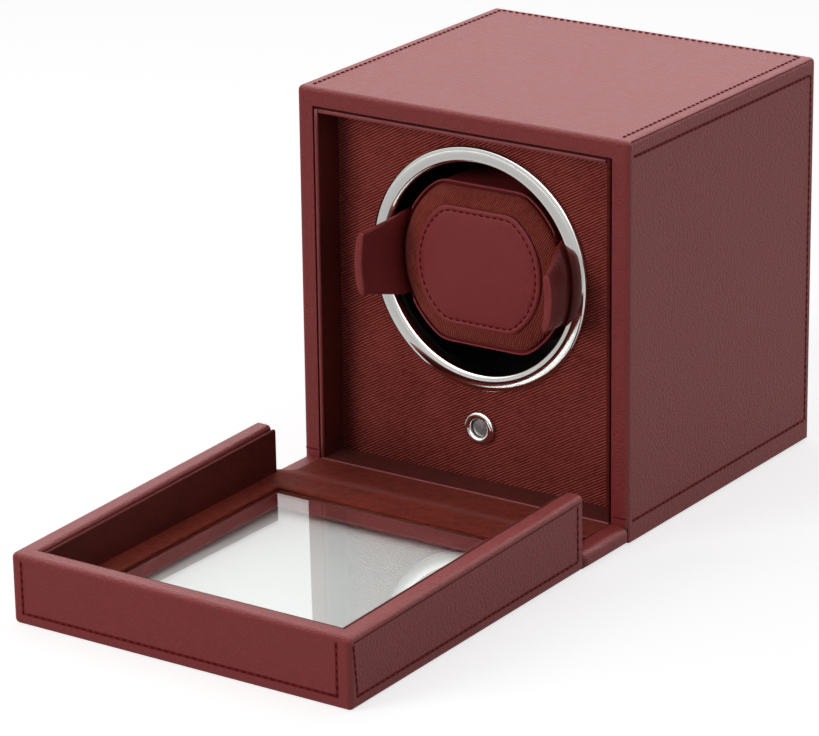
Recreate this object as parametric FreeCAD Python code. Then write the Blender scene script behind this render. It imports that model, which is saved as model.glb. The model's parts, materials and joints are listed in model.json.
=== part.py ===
import FreeCAD, Part
import math
import os

V = FreeCAD.Vector

# Driving sizes, in millimetres
case_width = 146.0
case_depth = 136.5
case_top = 155.6
edge_round = 2.0
leather = 1.0
wall_board = 5.1
back_board = 6.0
felt_thickness = 1.5
felt_inset = 3.0
base_board_thickness = 4.3
apron_depth = 29.5
apron_nose_round = 2.2
apron_side_round = 2.8
apron_under_round = 1.4
apron_border = 7.5
apron_lining_thickness = 1.0

recess_depth = 13.0
liner_gap = 0.8
liner_thickness = 1.7
liner_lip_round = 0.6
floor_liner_thickness = 1.6
panel_fabric_thickness = 0.6
panel_board_thickness = 4.0
seat_gap = 0.3

drum_below_top = 63.6
ring_inner_radius = 41.4
ring_outer_radius = 47.8
ring_proud = 2.0
ring_spigot_wall = 4.9
hole_clearance = 0.1

button_height = 29.0
bezel_radius = 6.55
bezel_spigot_radius = 5.4
button_radius = 3.65
button_travel = 0.8
button_flange_radius = 4.6
button_flange_thickness = 1.0
button_stem_radius = 1.6
button_clearance = 0.05

drum_inner_radius = 44.8
drum_wall = 1.8
drum_cavity_depth = 38.4
drum_floor_thickness = 2.4
drum_running_gap = 0.6
housing_gap = 1.9
housing_wall = 2.0
housing_flange_thickness = 2.0
housing_flange_half = 52.0
housing_screw_inset = 6.0
housing_back_thickness = 2.5

shaft_radius = 2.5
shaft_clearance = 0.03
bush_wall = 2.0
gear_module = 1.25
gear_width = 5.0
drum_gear_teeth = 36
idler_teeth = 16
pinion_teeth = 10
tooth_addendum = 0.8
tooth_dedendum = 1.1
tooth_backlash = 0.16
idler_axle_radius = 1.5
motor_shaft_radius = 2.0
gear_side_gap = 1.2
gear_plate_thickness = 2.0
motor_radius = 12.5
motor_length = 34.0
motor_screw_spacing = 21.0
pillar_radius = 3.0
screw_radius = 1.45
screw_head_radius = 2.7
screw_head_height = 1.8

cuff_core_radius = 36.2
cuff_core_half_height = 31.2
cuff_face_radius = 35.1
cuff_face_half_height = 30.0
cuff_pad_radius = 27.8
cuff_pad_half_height = 23.3
cuff_pad_thickness = 2.2
cuff_pad_crown = 0.7
cuff_pad_step = 0.6
cuff_pad_front = 12.0
cuff_bevel_depth = 2.5
cuff_face_rim = 2.0
cuff_corner_round = 3.0

wing_inner_radius = 37.2
wing_thickness = 3.4
wing_flare = 3.4
wing_reach = 6.0
wing_root_half_height = 16.5
wing_tip_half_height = 12.0
wing_tip_round = 2.0
wing_tip_bevel = 1.0
wing_shoulder = 3.0
wing_root_depth = 9.0
wing_pin_radius = 0.8
wing_pin_offset = 34.3
wing_pin_depth = 38.0
wing_knuckle_radius = 2.0
wing_knuckle_half_height = 6.0
wing_pin_half_length = 10.0
wing_pin_clearance = 0.03

lid_length = 146.5
lid_height = 29.4
lid_wall = 7.3
lid_front_gap = 0.4
lid_stand_gap = 0.8
lid_wall_taper = 2.4
lid_inner_round = 1.8
lid_apron_gap = 1.7
lid_liner_thickness = 1.7
lid_liner_gap = 0.5
lid_liner_drop = 1.4
lid_floor_board = 8.5
lid_floor_lining_thickness = 1.4
glass_thickness = 2.0
glass_rebate = 1.9
glass_clearance = 0.2
window_side_border = 19.0
window_rear_border = 12.3
window_bevel = 2.4
window_front_border = 17.7

hinge_pin_radius = 1.0
hinge_pin_clearance = 0.03
hinge_knuckle_radius = 1.7
hinge_slot_half_width = 5.6
hinge_knuckle_half_width = 5.0
hinge_pin_half_length = 9.0
hinge_spacing = 100.0
hinge_arm_thickness = 1.4
hinge_arm_reach = 9.0

magnet_radius = 2.5
magnet_thickness = 2.5
magnet_spacing = 90.0

inlet_height = 24.0
inlet_radius = 5.5
inlet_flange_radius = 6.8
inlet_flange_thickness = 1.2
inlet_bore_radius = 2.75
inlet_pin_radius = 1.0
inlet_bore_depth = 9.0
inlet_length = 14.0
nut_radius = 7.6
nut_thickness = 2.0

board_half_width = 20.0
board_half_height = 11.0
board_thickness = 1.6
post_radius = 2.5
post_inset = 3.2
post_pin_radius = 1.2
switch_height = 3.5
switch_half_width = 3.0

# Places worked out from the driving sizes
half_width = case_width / 2
wall = wall_board + 2 * leather
front = -(case_depth - apron_depth) / 2
back = front + case_depth
apron_front = front - apron_depth
base_bottom = felt_thickness
base_board_bottom = base_bottom + leather
base_board_top = base_board_bottom + base_board_thickness
apron_top = base_board_top + apron_lining_thickness
floor_liner_top = base_board_top + floor_liner_thickness
ceiling = case_top - wall
drum_height = case_top - drum_below_top
mouth_half = half_width - wall
panel_face = front + recess_depth
fabric_back = panel_face + panel_fabric_thickness
panel_back = fabric_back + panel_board_thickness
mouth_depth = recess_depth + panel_fabric_thickness + panel_board_thickness + seat_gap
ring_spigot_radius = ring_inner_radius + ring_spigot_wall
drum_front = panel_back + drum_running_gap
drum_floor = drum_front + drum_cavity_depth - drum_floor_thickness
drum_back = drum_floor + drum_floor_thickness
drum_outer_radius = drum_inner_radius + drum_wall
housing_inner_radius = drum_outer_radius + housing_gap
housing_radius = housing_inner_radius + housing_wall
hub_length = 6.0
hub_radius = 7.0
housing_back_face = drum_back + hub_length + seat_gap
housing_rear = housing_back_face + housing_back_thickness
gear_front = housing_rear + gear_side_gap
gear_back = gear_front + gear_width
plate_front = gear_back + gear_side_gap
plate_back = plate_front + gear_plate_thickness
bush_radius = shaft_radius + shaft_clearance + bush_wall
idler_distance = gear_module * (drum_gear_teeth + idler_teeth) / 2
pinion_distance = idler_distance + gear_module * (idler_teeth + pinion_teeth) / 2
idler_height = drum_height - idler_distance
motor_height = drum_height - pinion_distance
cuff_back = drum_floor - seat_gap
cuff_face_front = front + cuff_pad_front + cuff_pad_step
cuff_face_shoulder = cuff_face_front + cuff_bevel_depth
cuff_core_front = cuff_face_shoulder + cuff_face_rim
wing_pin_y = front + wing_pin_depth

# The closed lid stands on the apron, flush with the box: that and the open lid's place fix the hinge axis
lid_bottom = base_bottom
lid_wall_top = lid_bottom + lid_height
lid_rear = apron_front - lid_apron_gap
lid_front = lid_rear - lid_length
closed_offset = front - lid_front_gap - lid_wall_top
stand_offset = apron_top + lid_stand_gap + lid_rear
hinge_y = (closed_offset + stand_offset) / 2
hinge_z = (stand_offset - closed_offset) / 2
lid_board_top = lid_bottom + leather + lid_floor_board
lid_floor_top = lid_board_top + lid_floor_lining_thickness
window_half = half_width - window_side_border
window_rear = lid_rear - window_rear_border
window_front = lid_front + window_front_border
glass_bottom = lid_board_top - glass_thickness

# The open lid tips about its hinge until its front edge rests on the floor
tip_reach = hinge_y - (lid_front + edge_round)
tip_rise = lid_bottom + edge_round - hinge_z
droop = math.atan2(tip_rise, tip_reach) + math.asin((hinge_z - edge_round) / math.hypot(tip_rise, tip_reach))
droop_deg = math.degrees(droop)


def box(x0, x1, y0, y1, z0, z1):
    return Part.makeBox(x1 - x0, y1 - y0, z1 - z0, V(x0, y0, z0))


def wide_box(half, y0, y1, z0, z1):
    return box(-half, half, y0, y1, z0, z1)


def rod_y(x, z, radius, y0, y1):
    return Part.makeCylinder(radius, y1 - y0, V(x, y0, z), V(0, 1, 0))


def rod_z(x, y, radius, z0, z1):
    return Part.makeCylinder(radius, z1 - z0, V(x, y, z0), V(0, 0, 1))


def rod_x(y, z, radius, x0, x1):
    return Part.makeCylinder(radius, x1 - x0, V(x0, y, z), V(1, 0, 0))


def ring_y(x, z, inner, outer, y0, y1):
    return rod_y(x, z, outer, y0, y1).cut(rod_y(x, z, inner, y0, y1))


def revolve_y(x, z, profile):
    """Turn a closed outline of (radius, y) points about an axis along Y."""
    points = [V(x + r, y, z) for r, y in profile]
    face = Part.Face(Part.makePolygon(points + [points[0]]))
    return face.revolve(V(x, 0, z), V(0, 1, 0), 360)


def is_straight(edge):
    ends = [vertex.Point for vertex in edge.Vertexes]
    return len(ends) == 2 and edge.Length > 0.01 and abs(edge.Length - (ends[1] - ends[0]).Length) < 0.000001


def round_edges(shape, radius, wanted):
    """Round the straight edges whose direction and middle point are wanted."""
    chosen = []
    for edge in shape.Edges:
        if not is_straight(edge):
            continue
        way = edge.Vertexes[-1].Point - edge.Vertexes[0].Point
        if wanted(way.normalize(), edge.CenterOfMass):
            chosen.append(edge)
    return shape.makeFillet(radius, chosen)


def mirrored(shape):
    return shape.mirror(V(0, 0, 0), V(1, 0, 0))


def tipped(shape):
    """Turn a piece of the level lid about the hinge to where the open lid rests."""
    turned = shape.copy()
    turned.rotate(V(0, hinge_y, hinge_z), V(1, 0, 0), droop_deg)
    return turned


def fused(shapes):
    whole = shapes[0]
    for shape in shapes[1:]:
        whole = whole.fuse(shape)
    return whole.removeSplitter()


def outline(radius, half_height, corner, y):
    """A circle cut off flat above and below, with rounded corners, as a wire across the drum axis."""
    side = radius - corner
    flat = math.sqrt(side ** 2 - (half_height - corner) ** 2)
    turn = math.atan2(half_height - corner, flat)
    lean = (math.pi / 2 + turn) / 2

    def at(x, z):
        return V(x, y, drum_height + z)

    edges = []
    for way in (1, -1):
        top, bottom = way * half_height, -way * half_height
        middle = way * (half_height - corner)
        touch = (radius * math.cos(turn), way * radius * math.sin(turn))
        bend = (flat + corner * math.cos(lean), middle + way * corner * math.sin(lean))
        edges.append(Part.LineSegment(at(-way * flat, top), at(way * flat, top)).toShape())
        edges.append(Part.Arc(at(way * flat, top), at(way * bend[0], bend[1]),
                              at(way * touch[0], touch[1])).toShape())
        edges.append(Part.Arc(at(way * touch[0], touch[1]), at(way * radius, 0),
                              at(way * touch[0], -touch[1])).toShape())
        edges.append(Part.Arc(at(way * touch[0], -touch[1]), at(way * bend[0], -bend[1]),
                              at(way * flat, bottom)).toShape())
    return Part.Wire(Part.__sortEdges__(edges))


def slab(radius, half_height, corner, y0, y1):
    return Part.Face(outline(radius, half_height, corner, y0)).extrude(V(0, y1 - y0, 0))


def hexagon(x, z, radius, y0, y1):
    corners = [V(x + radius * math.cos(turn * math.pi / 3), y0, z + radius * math.sin(turn * math.pi / 3))
               for turn in range(6)]
    return Part.Face(Part.makePolygon(corners + corners[:1])).extrude(V(0, y1 - y0, 0))


def screw(x, z, head_y, length, way):
    """A screw along Y whose head lies against head_y; way is +1 where it drives towards +Y."""
    ends = sorted((head_y, head_y - way * screw_head_height))
    head = hexagon(x, z, screw_head_radius, ends[0], ends[1])
    ends = sorted((head_y, head_y + way * length))
    return head.fuse(rod_y(x, z, screw_radius, ends[0], ends[1]))


def gear(x, z, teeth, bore, tooth_at_deg):
    """A spur gear about an axis along Y, with a tooth centred on the angle from +X towards +Z."""
    pitch = gear_module * teeth / 2
    base = pitch * math.cos(math.radians(20))
    tip = pitch + tooth_addendum * gear_module
    root = pitch - tooth_dedendum * gear_module
    half_pitch_angle = math.pi / (2 * teeth) - tooth_backlash / (4 * pitch)

    def roll(radius):
        across = math.acos(min(1.0, base / radius))
        return math.tan(across) - across

    def half_angle(radius):
        return half_pitch_angle + roll(pitch) - roll(max(radius, base))

    def at(radius, angle):
        return V(x + radius * math.cos(angle), gear_front, z + radius * math.sin(angle))

    start = max(base, root)
    middle = (start + tip) / 2
    edges = []
    for number in range(teeth):
        centre = math.radians(tooth_at_deg) + 2 * math.pi * number / teeth
        following = centre + 2 * math.pi / teeth
        foot, edge = half_angle(start), half_angle(tip)
        if start > root:
            edges.append(Part.LineSegment(at(root, centre - foot), at(start, centre - foot)).toShape())
            edges.append(Part.LineSegment(at(start, centre + foot), at(root, centre + foot)).toShape())
        for way in (-1, 1):
            edges.append(Part.Arc(at(start, centre + way * foot), at(middle, centre + way * half_angle(middle)),
                                  at(tip, centre + way * edge)).toShape())
        edges.append(Part.LineSegment(at(tip, centre - edge), at(tip, centre + edge)).toShape())
        edges.append(Part.LineSegment(at(root, centre + foot), at(root, following - foot)).toShape())
    face = Part.Face(Part.Wire(Part.__sortEdges__(edges)))
    return face.extrude(V(0, gear_width, 0)).cut(rod_y(x, z, bore, gear_front, gear_back))


def case_skin():
    outer = wide_box(half_width, front, back, base_bottom, case_top)
    outer = round_edges(outer, edge_round, lambda way, at: at.z > base_bottom + 1)
    room = wide_box(half_width - leather, front + leather, back - leather, 0, case_top - leather)
    mouth = wide_box(mouth_half, front - 1, front + leather, 0, ceiling)
    apron_seat = wide_box(half_width, front - 1, front + leather, 0, apron_top)
    lip = wide_box(mouth_half + leather, front + leather, front + mouth_depth, apron_top, ceiling + leather)
    lip = lip.cut(wide_box(mouth_half, front, back, 0, ceiling))
    skin = outer.cut(room).cut(mouth).cut(apron_seat).fuse(lip)
    skin = skin.cut(rod_y(0, inlet_height, inlet_radius + hole_clearance, back - wall, back))
    return skin.removeSplitter()


def carcass():
    outer = wide_box(half_width - leather, front + leather, back - leather, base_board_top, case_top - leather)
    room = wide_box(mouth_half + leather, front, back - leather - back_board, 0, ceiling + leather)
    walls = outer.cut(room).cut(rod_y(0, inlet_height, inlet_radius + hole_clearance, back - 2 * wall, back))
    return walls.cut(case_magnet_discs())


def magnet_discs(y0, y1, z):
    return Part.makeCompound([rod_y(way * magnet_spacing / 2, z, magnet_radius, y0, y1) for way in (-1, 1)])


def case_magnet_discs():
    return magnet_discs(front + leather, front + leather + magnet_thickness, case_top - wall / 2)


def hinge_slots(y0, y1, z0, z1):
    boxes = []
    for way in (-1, 1):
        middle = way * hinge_spacing / 2
        boxes.append(box(middle - hinge_slot_half_width, middle + hinge_slot_half_width, y0, y1, z0, z1))
    return Part.makeCompound(boxes)


def hinge_pins():
    pins = []
    for way in (-1, 1):
        middle = way * hinge_spacing / 2
        pins.append(rod_x(hinge_y, hinge_z, hinge_pin_radius, middle - hinge_pin_half_length,
                          middle + hinge_pin_half_length))
    return Part.makeCompound(pins)


def base():
    slot_back = hinge_y + hinge_knuckle_radius + seat_gap
    board = wide_box(half_width - leather, apron_front + leather, back - leather,
                     base_board_bottom, base_board_top)
    slots = hinge_slots(apron_front - 1, slot_back, base_board_bottom, case_top)
    board = board.cut(slots).cut(hinge_pins())
    apron = wide_box(half_width, apron_front, front, base_bottom, apron_top)
    sides = lambda way, at: abs(at.x) > half_width - 1 and abs(way.y) > 0.5
    apron = round_edges(apron, apron_under_round, lambda way, at: sides(way, at) and at.z < base_bottom + 0.1)
    apron = round_edges(apron, apron_side_round, lambda way, at: sides(way, at) and at.z > apron_top - 0.1)
    apron = round_edges(apron, apron_nose_round,
                        lambda way, at: at.y < apron_front + 0.1 and at.z > apron_top - 0.1 and abs(way.x) > 0.5)
    apron = apron.cut(wide_box(half_width - apron_border, apron_front - 1, front, base_board_top, case_top))
    under = wide_box(half_width - leather, front, back - leather, base_bottom, base_board_bottom)
    cover = apron.fuse(under).removeSplitter()
    cover = cover.cut(wide_box(half_width - leather, apron_front + leather, back,
                               base_board_bottom, base_board_top))
    cover = cover.cut(hinge_slots(apron_front - 1, slot_back, base_board_bottom, case_top))
    felt = wide_box(half_width - felt_inset, apron_front + felt_inset, back - felt_inset, 0, base_bottom)
    lining = wide_box(half_width - apron_border, slot_back, front, base_board_top, apron_top)
    return board, cover, felt, lining


def recess_liners():
    outside = mouth_half - liner_gap
    inside = outside - liner_thickness
    top = ceiling - liner_gap
    right = box(inside, outside, front, panel_face, floor_liner_top, top)
    right = round_edges(right, liner_lip_round, lambda way, at: at.y < front + 1 and abs(way.z) > 0.5)
    roof = wide_box(inside, front, panel_face, top - liner_thickness, top)
    roof = round_edges(roof, liner_lip_round, lambda way, at: at.y < front + 1 and abs(way.x) > 0.5)
    floor = wide_box(outside, front, panel_face, base_board_top, floor_liner_top)
    floor = round_edges(floor, liner_lip_round,
                        lambda way, at: at.y < front + 1 and abs(way.x) > 0.5 and at.z > base_board_top + 1)
    return mirrored(right), right, roof, floor


def front_panel():
    edge = mouth_half - seat_gap
    cloth = wide_box(edge, panel_face, fabric_back, base_board_top, ceiling - seat_gap)
    board = wide_box(edge, fabric_back, panel_back, base_board_top, ceiling - seat_gap)
    holes = Part.makeCompound([
        rod_y(0, drum_height, ring_spigot_radius + hole_clearance, panel_face - 1, panel_back + 1),
        rod_y(0, button_height, bezel_spigot_radius + hole_clearance, panel_face - 1, panel_back + 1)])
    pilots = Part.makeCompound([rod_y(x, z, screw_radius, fabric_back + 1, panel_back)
                                for x, z in housing_corners()])
    return board.cut(holes).cut(pilots), cloth.cut(holes)


def drum_ring():
    face = panel_face - ring_proud
    inner, outer = ring_inner_radius, ring_outer_radius
    profile = [(inner, panel_back), (inner, face + 0.9), (inner + 1.2, face), (outer - 1.8, face),
               (outer - 0.4, face + 0.7), (outer, panel_face), (ring_spigot_radius, panel_face),
               (ring_spigot_radius, panel_back)]
    return revolve_y(0, drum_height, profile)


def button_bezel():
    face = panel_face - ring_proud
    bore = button_radius + button_clearance
    rear = panel_back
    profile = [(bore, rear), (bore, face + 1.0), (bore + 0.9, face), (bezel_radius - 1.1, face),
               (bezel_radius, face + 1.1), (bezel_radius, panel_face), (bezel_spigot_radius, panel_face),
               (bezel_spigot_radius, rear)]
    return revolve_y(0, button_height, profile)


def push_button():
    crown = front + recess_depth - 0.9
    shoulder = crown + 0.9
    flange_front = panel_back + seat_gap
    flange_back = flange_front + button_flange_thickness
    stem_end = flange_back + button_travel + seat_gap
    sphere_radius = (button_radius ** 2 + 0.9 ** 2) / (2 * 0.9)
    dome = Part.makeSphere(sphere_radius, V(0, crown + sphere_radius, button_height))
    dome = dome.common(rod_y(0, button_height, button_radius, crown - 1, shoulder))
    body = rod_y(0, button_height, button_radius, shoulder, flange_front)
    flange = rod_y(0, button_height, button_flange_radius, flange_front, flange_back)
    stem = rod_y(0, button_height, button_stem_radius, flange_back, stem_end)
    return fused([dome, body, flange, stem]), stem_end


def control_board(stem_end):
    switch_front = stem_end + button_travel + 0.2
    face = switch_front + switch_height
    switch = box(-switch_half_width, switch_half_width, switch_front + 1.0, face,
                 button_height - switch_half_width, button_height + switch_half_width)
    switch = switch.fuse(rod_y(0, button_height, button_stem_radius, switch_front, switch_front + 1.0))
    board = box(-board_half_width, board_half_width, face, face + board_thickness,
                button_height - board_half_height, button_height + board_half_height)
    posts, pins = [], []
    for x in (-1, 1):
        for z in (-1, 1):
            at_x = x * (board_half_width - post_inset)
            at_z = button_height + z * (board_half_height - post_inset)
            pins.append(hexagon(at_x, at_z, post_pin_radius, face, face + board_thickness + 1))
            posts.append(hexagon(at_x, at_z, post_radius, panel_back, face).fuse(pins[-1]))
    return board.cut(Part.makeCompound(pins)), switch, Part.makeCompound(posts)


def drum():
    hub_back = drum_back + hub_length
    cup = [(drum_outer_radius, drum_front), (drum_outer_radius, drum_back), (hub_radius, drum_back),
           (hub_radius, hub_back), (shaft_radius, hub_back), (shaft_radius, drum_floor),
           (drum_inner_radius, drum_floor), (drum_inner_radius, drum_front)]
    shaft = rod_y(0, drum_height, shaft_radius, drum_floor + screw_head_height, plate_back)
    bore = rod_y(0, drum_height, screw_radius, drum_floor, drum_floor + screw_head_height + 8)
    fastener = screw(0, drum_height, drum_floor + screw_head_height, 8, 1)
    sink = rod_y(0, drum_height, screw_head_radius, drum_floor, drum_floor + screw_head_height)
    wheel = gear(0, drum_height, drum_gear_teeth, shaft_radius, -90)
    collar = ring_y(0, drum_height, shaft_radius, hub_radius, gear_back, plate_front - seat_gap)
    return revolve_y(0, drum_height, cup).cut(sink), shaft.cut(bore), fastener, wheel.fuse(collar)


def housing_corners():
    reach = housing_flange_half - housing_screw_inset
    return [(x * reach, drum_height + z * reach) for x in (-1, 1) for z in (-1, 1)]


def housing():
    flange = wide_box(housing_flange_half, panel_back, panel_back + housing_flange_thickness,
                      drum_height - housing_flange_half, drum_height + housing_flange_half)
    tube = rod_y(0, drum_height, housing_radius, panel_back, housing_rear)
    room = rod_y(0, drum_height, housing_inner_radius, panel_back, housing_back_face)
    body = flange.fuse(tube).cut(room)
    body = body.cut(rod_y(0, drum_height, bush_radius, housing_back_face, housing_rear))
    body = body.cut(rod_y(0, idler_height, idler_axle_radius, housing_back_face, housing_rear))
    for x, z in housing_corners():
        body = body.cut(rod_y(x, z, screw_radius + hole_clearance, panel_back, housing_rear))
    head_y = panel_back + housing_flange_thickness
    length = panel_board_thickness - 1 + housing_flange_thickness
    return body, [screw(x, z, head_y, length, -1) for x, z in housing_corners()]


def plate_pillars():
    return [(x * 30.0, drum_height + z) for x in (-1, 1) for z in (30.0, -30.0)]


def gear_plate():
    width, rise = 38.0, 38.0
    low = motor_height - motor_radius - 3
    plate = wide_box(width, plate_front, plate_back, low, drum_height + rise)
    plate = round_edges(plate, 6.0, lambda way, at: abs(way.y) > 0.5)
    plate = plate.cut(rod_y(0, drum_height, bush_radius, plate_front, plate_back))
    plate = plate.cut(rod_y(0, idler_height, idler_axle_radius, plate_front, plate_back))
    plate = plate.cut(rod_y(0, motor_height, motor_shaft_radius + 1.0, plate_front, plate_back))
    pillars, screws = [], []
    for x, z in plate_pillars():
        bore = rod_y(x, z, screw_radius, plate_front - 6, plate_front)
        pillars.append(hexagon(x, z, pillar_radius, housing_rear, plate_front).cut(bore))
        plate = plate.cut(rod_y(x, z, screw_radius + hole_clearance, plate_front, plate_back))
        screws.append(screw(x, z, plate_back, 5.0 + gear_plate_thickness, -1))
    for way in (-1, 1):
        plate = plate.cut(rod_y(way * motor_screw_spacing / 2, motor_height, screw_radius + hole_clearance,
                                plate_front, plate_back))
    return plate, pillars, screws


def motor():
    body = rod_y(0, motor_height, motor_radius, plate_back, plate_back + motor_length)
    cap = rod_y(0, motor_height, motor_radius - 3.5, plate_back + motor_length, plate_back + motor_length + 2.5)
    body = body.fuse(cap).cut(rod_y(0, motor_height, motor_shaft_radius + 1.0, plate_back, plate_back + 4))
    screws = []
    for way in (-1, 1):
        x = way * motor_screw_spacing / 2
        screws.append(screw(x, motor_height, plate_front, 3 + gear_plate_thickness, 1))
        body = body.cut(rod_y(x, motor_height, screw_radius, plate_back, plate_back + 3))
    shaft = rod_y(0, motor_height, motor_shaft_radius, gear_front, plate_back + 4 - seat_gap)
    return body, screws, shaft


def shaft_bushes():
    bushes = []
    for y0, y1 in ((housing_back_face, housing_rear), (plate_front, plate_back)):
        bushes.append(ring_y(0, drum_height, shaft_radius + shaft_clearance, bush_radius, y0, y1))
    return Part.makeCompound(bushes)


def cuff():
    core = slab(cuff_core_radius, cuff_core_half_height, cuff_corner_round, cuff_core_front, cuff_back)
    pins = []
    for way in (-1, 1):
        x = way * wing_pin_offset
        reach = wing_knuckle_radius + seat_gap
        ends = sorted((way * (wing_pin_offset - reach), way * (cuff_core_radius + 1)))
        core = core.cut(box(ends[0], ends[1], wing_pin_y - reach, wing_pin_y + reach,
                            drum_height - wing_knuckle_half_height - seat_gap,
                            drum_height + wing_knuckle_half_height + seat_gap))
        pin = rod_z(x, wing_pin_y, wing_pin_radius, drum_height - wing_pin_half_length,
                    drum_height + wing_pin_half_length)
        core = core.cut(pin)
        pins.append(pin)
    pad_edge = (cuff_pad_radius, cuff_pad_half_height, cuff_corner_round / 2)
    rim = (cuff_face_radius, cuff_face_half_height, cuff_corner_round)
    bevel = Part.makeLoft([outline(*pad_edge, cuff_face_front), outline(*rim, cuff_face_shoulder)], True, True)
    face = bevel.fuse(slab(*rim, cuff_face_shoulder, cuff_core_front)).removeSplitter()
    pad_back = cuff_face_front + cuff_pad_thickness - cuff_pad_crown
    face = face.cut(slab(*pad_edge, cuff_face_front - 1, pad_back))
    pad = slab(*pad_edge, front + cuff_pad_front - 1, pad_back)
    ball = (cuff_pad_radius ** 2 + cuff_pad_crown ** 2) / (2 * cuff_pad_crown)
    pad = pad.common(Part.makeSphere(ball, V(0, front + cuff_pad_front - cuff_pad_crown / 2 + ball, drum_height)))
    return core, face, pad, Part.makeCompound(pins)


def wing():
    """The right wing: a flap about the drum axis that flares out in front of the box."""
    root = cuff_back - wing_root_depth
    tip = front - wing_reach
    bend = front + cuff_pad_front
    inner, thick, flare = wing_inner_radius, wing_thickness, wing_flare
    nose = wing_tip_bevel
    outline_points = [(inner, root), (inner, bend), (inner + flare, tip + nose), (inner + flare + nose, tip),
                      (inner + flare + thick - nose, tip), (inner + flare + thick, tip + nose),
                      (inner + thick, bend), (inner + thick, root)]
    points = [V(radius, y, drum_height) for radius, y in outline_points]
    section = Part.Face(Part.makePolygon(points + points[:1]))
    flap = section.revolve(V(0, 0, drum_height), V(0, 1, 0), 60)
    flap.rotate(V(0, 0, drum_height), V(0, 1, 0), -30)
    low, high = wing_tip_half_height, wing_root_half_height
    half_side = [(root, high), (bend + wing_shoulder, high), (tip + wing_tip_round, low),
                 (tip, low - wing_tip_round)]
    side = [V(0, y, drum_height + z) for y, z in half_side]
    side += [V(0, y, drum_height - z) for y, z in reversed(half_side)]
    profile = Part.Face(Part.makePolygon(side + side[:1])).extrude(V(case_width, 0, 0))
    flap = flap.common(profile)
    knuckle = rod_z(wing_pin_offset, wing_pin_y, wing_knuckle_radius,
                    drum_height - wing_knuckle_half_height, drum_height + wing_knuckle_half_height)
    web = box(wing_pin_offset, inner + 1, wing_pin_y - 1.2, wing_pin_y + 1.2,
              drum_height - wing_knuckle_half_height, drum_height + wing_knuckle_half_height)
    bore = rod_z(wing_pin_offset, wing_pin_y, wing_pin_radius + wing_pin_clearance,
                 drum_height - wing_pin_half_length, drum_height + wing_pin_half_length)
    return fused([flap, knuckle, web]).cut(bore)


def wall_top_at(y):
    return lid_wall_top - lid_wall_taper * (lid_rear - y) / lid_length


def tapered(half, y0, y1, z0, below):
    """A block under the lid's wall top, which falls towards the lid's front."""
    profile = [V(-half, y0, z0), V(-half, y1, z0), V(-half, y1, wall_top_at(y1) - below),
               V(-half, y0, wall_top_at(y0) - below)]
    return Part.Face(Part.makePolygon(profile + profile[:1])).extrude(V(2 * half, 0, 0))


def window_room(grown):
    """The lid's opening with its bevelled outer edge, grown by a thickness all round."""
    rims = []
    for wider, z in ((grown + window_bevel, lid_bottom), (grown, lid_bottom + window_bevel)):
        x, y0, y1 = window_half + wider, window_front - wider, window_rear + wider
        corners = [V(-x, y0, z), V(x, y0, z), V(x, y1, z), V(-x, y1, z)]
        rims.append(Part.makePolygon(corners + corners[:1]))
    bevel = Part.makeLoft(rims, True, True)
    x, y0, y1 = window_half + grown, window_front - grown, window_rear + grown
    return bevel.fuse(wide_box(x, y0, y1, lid_bottom, lid_wall_top)).removeSplitter()


def on_inner_lip(way, at, inside):
    """True on the edges between the lid walls' tops and their inner faces."""
    high = at.z > lid_floor_top + 1
    return high and ((abs(abs(at.x) - inside) < 0.1 and abs(way.y) > 0.5)
                     or (abs(at.y - lid_front - lid_wall) < 0.1 and abs(way.x) > 0.5))


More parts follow.
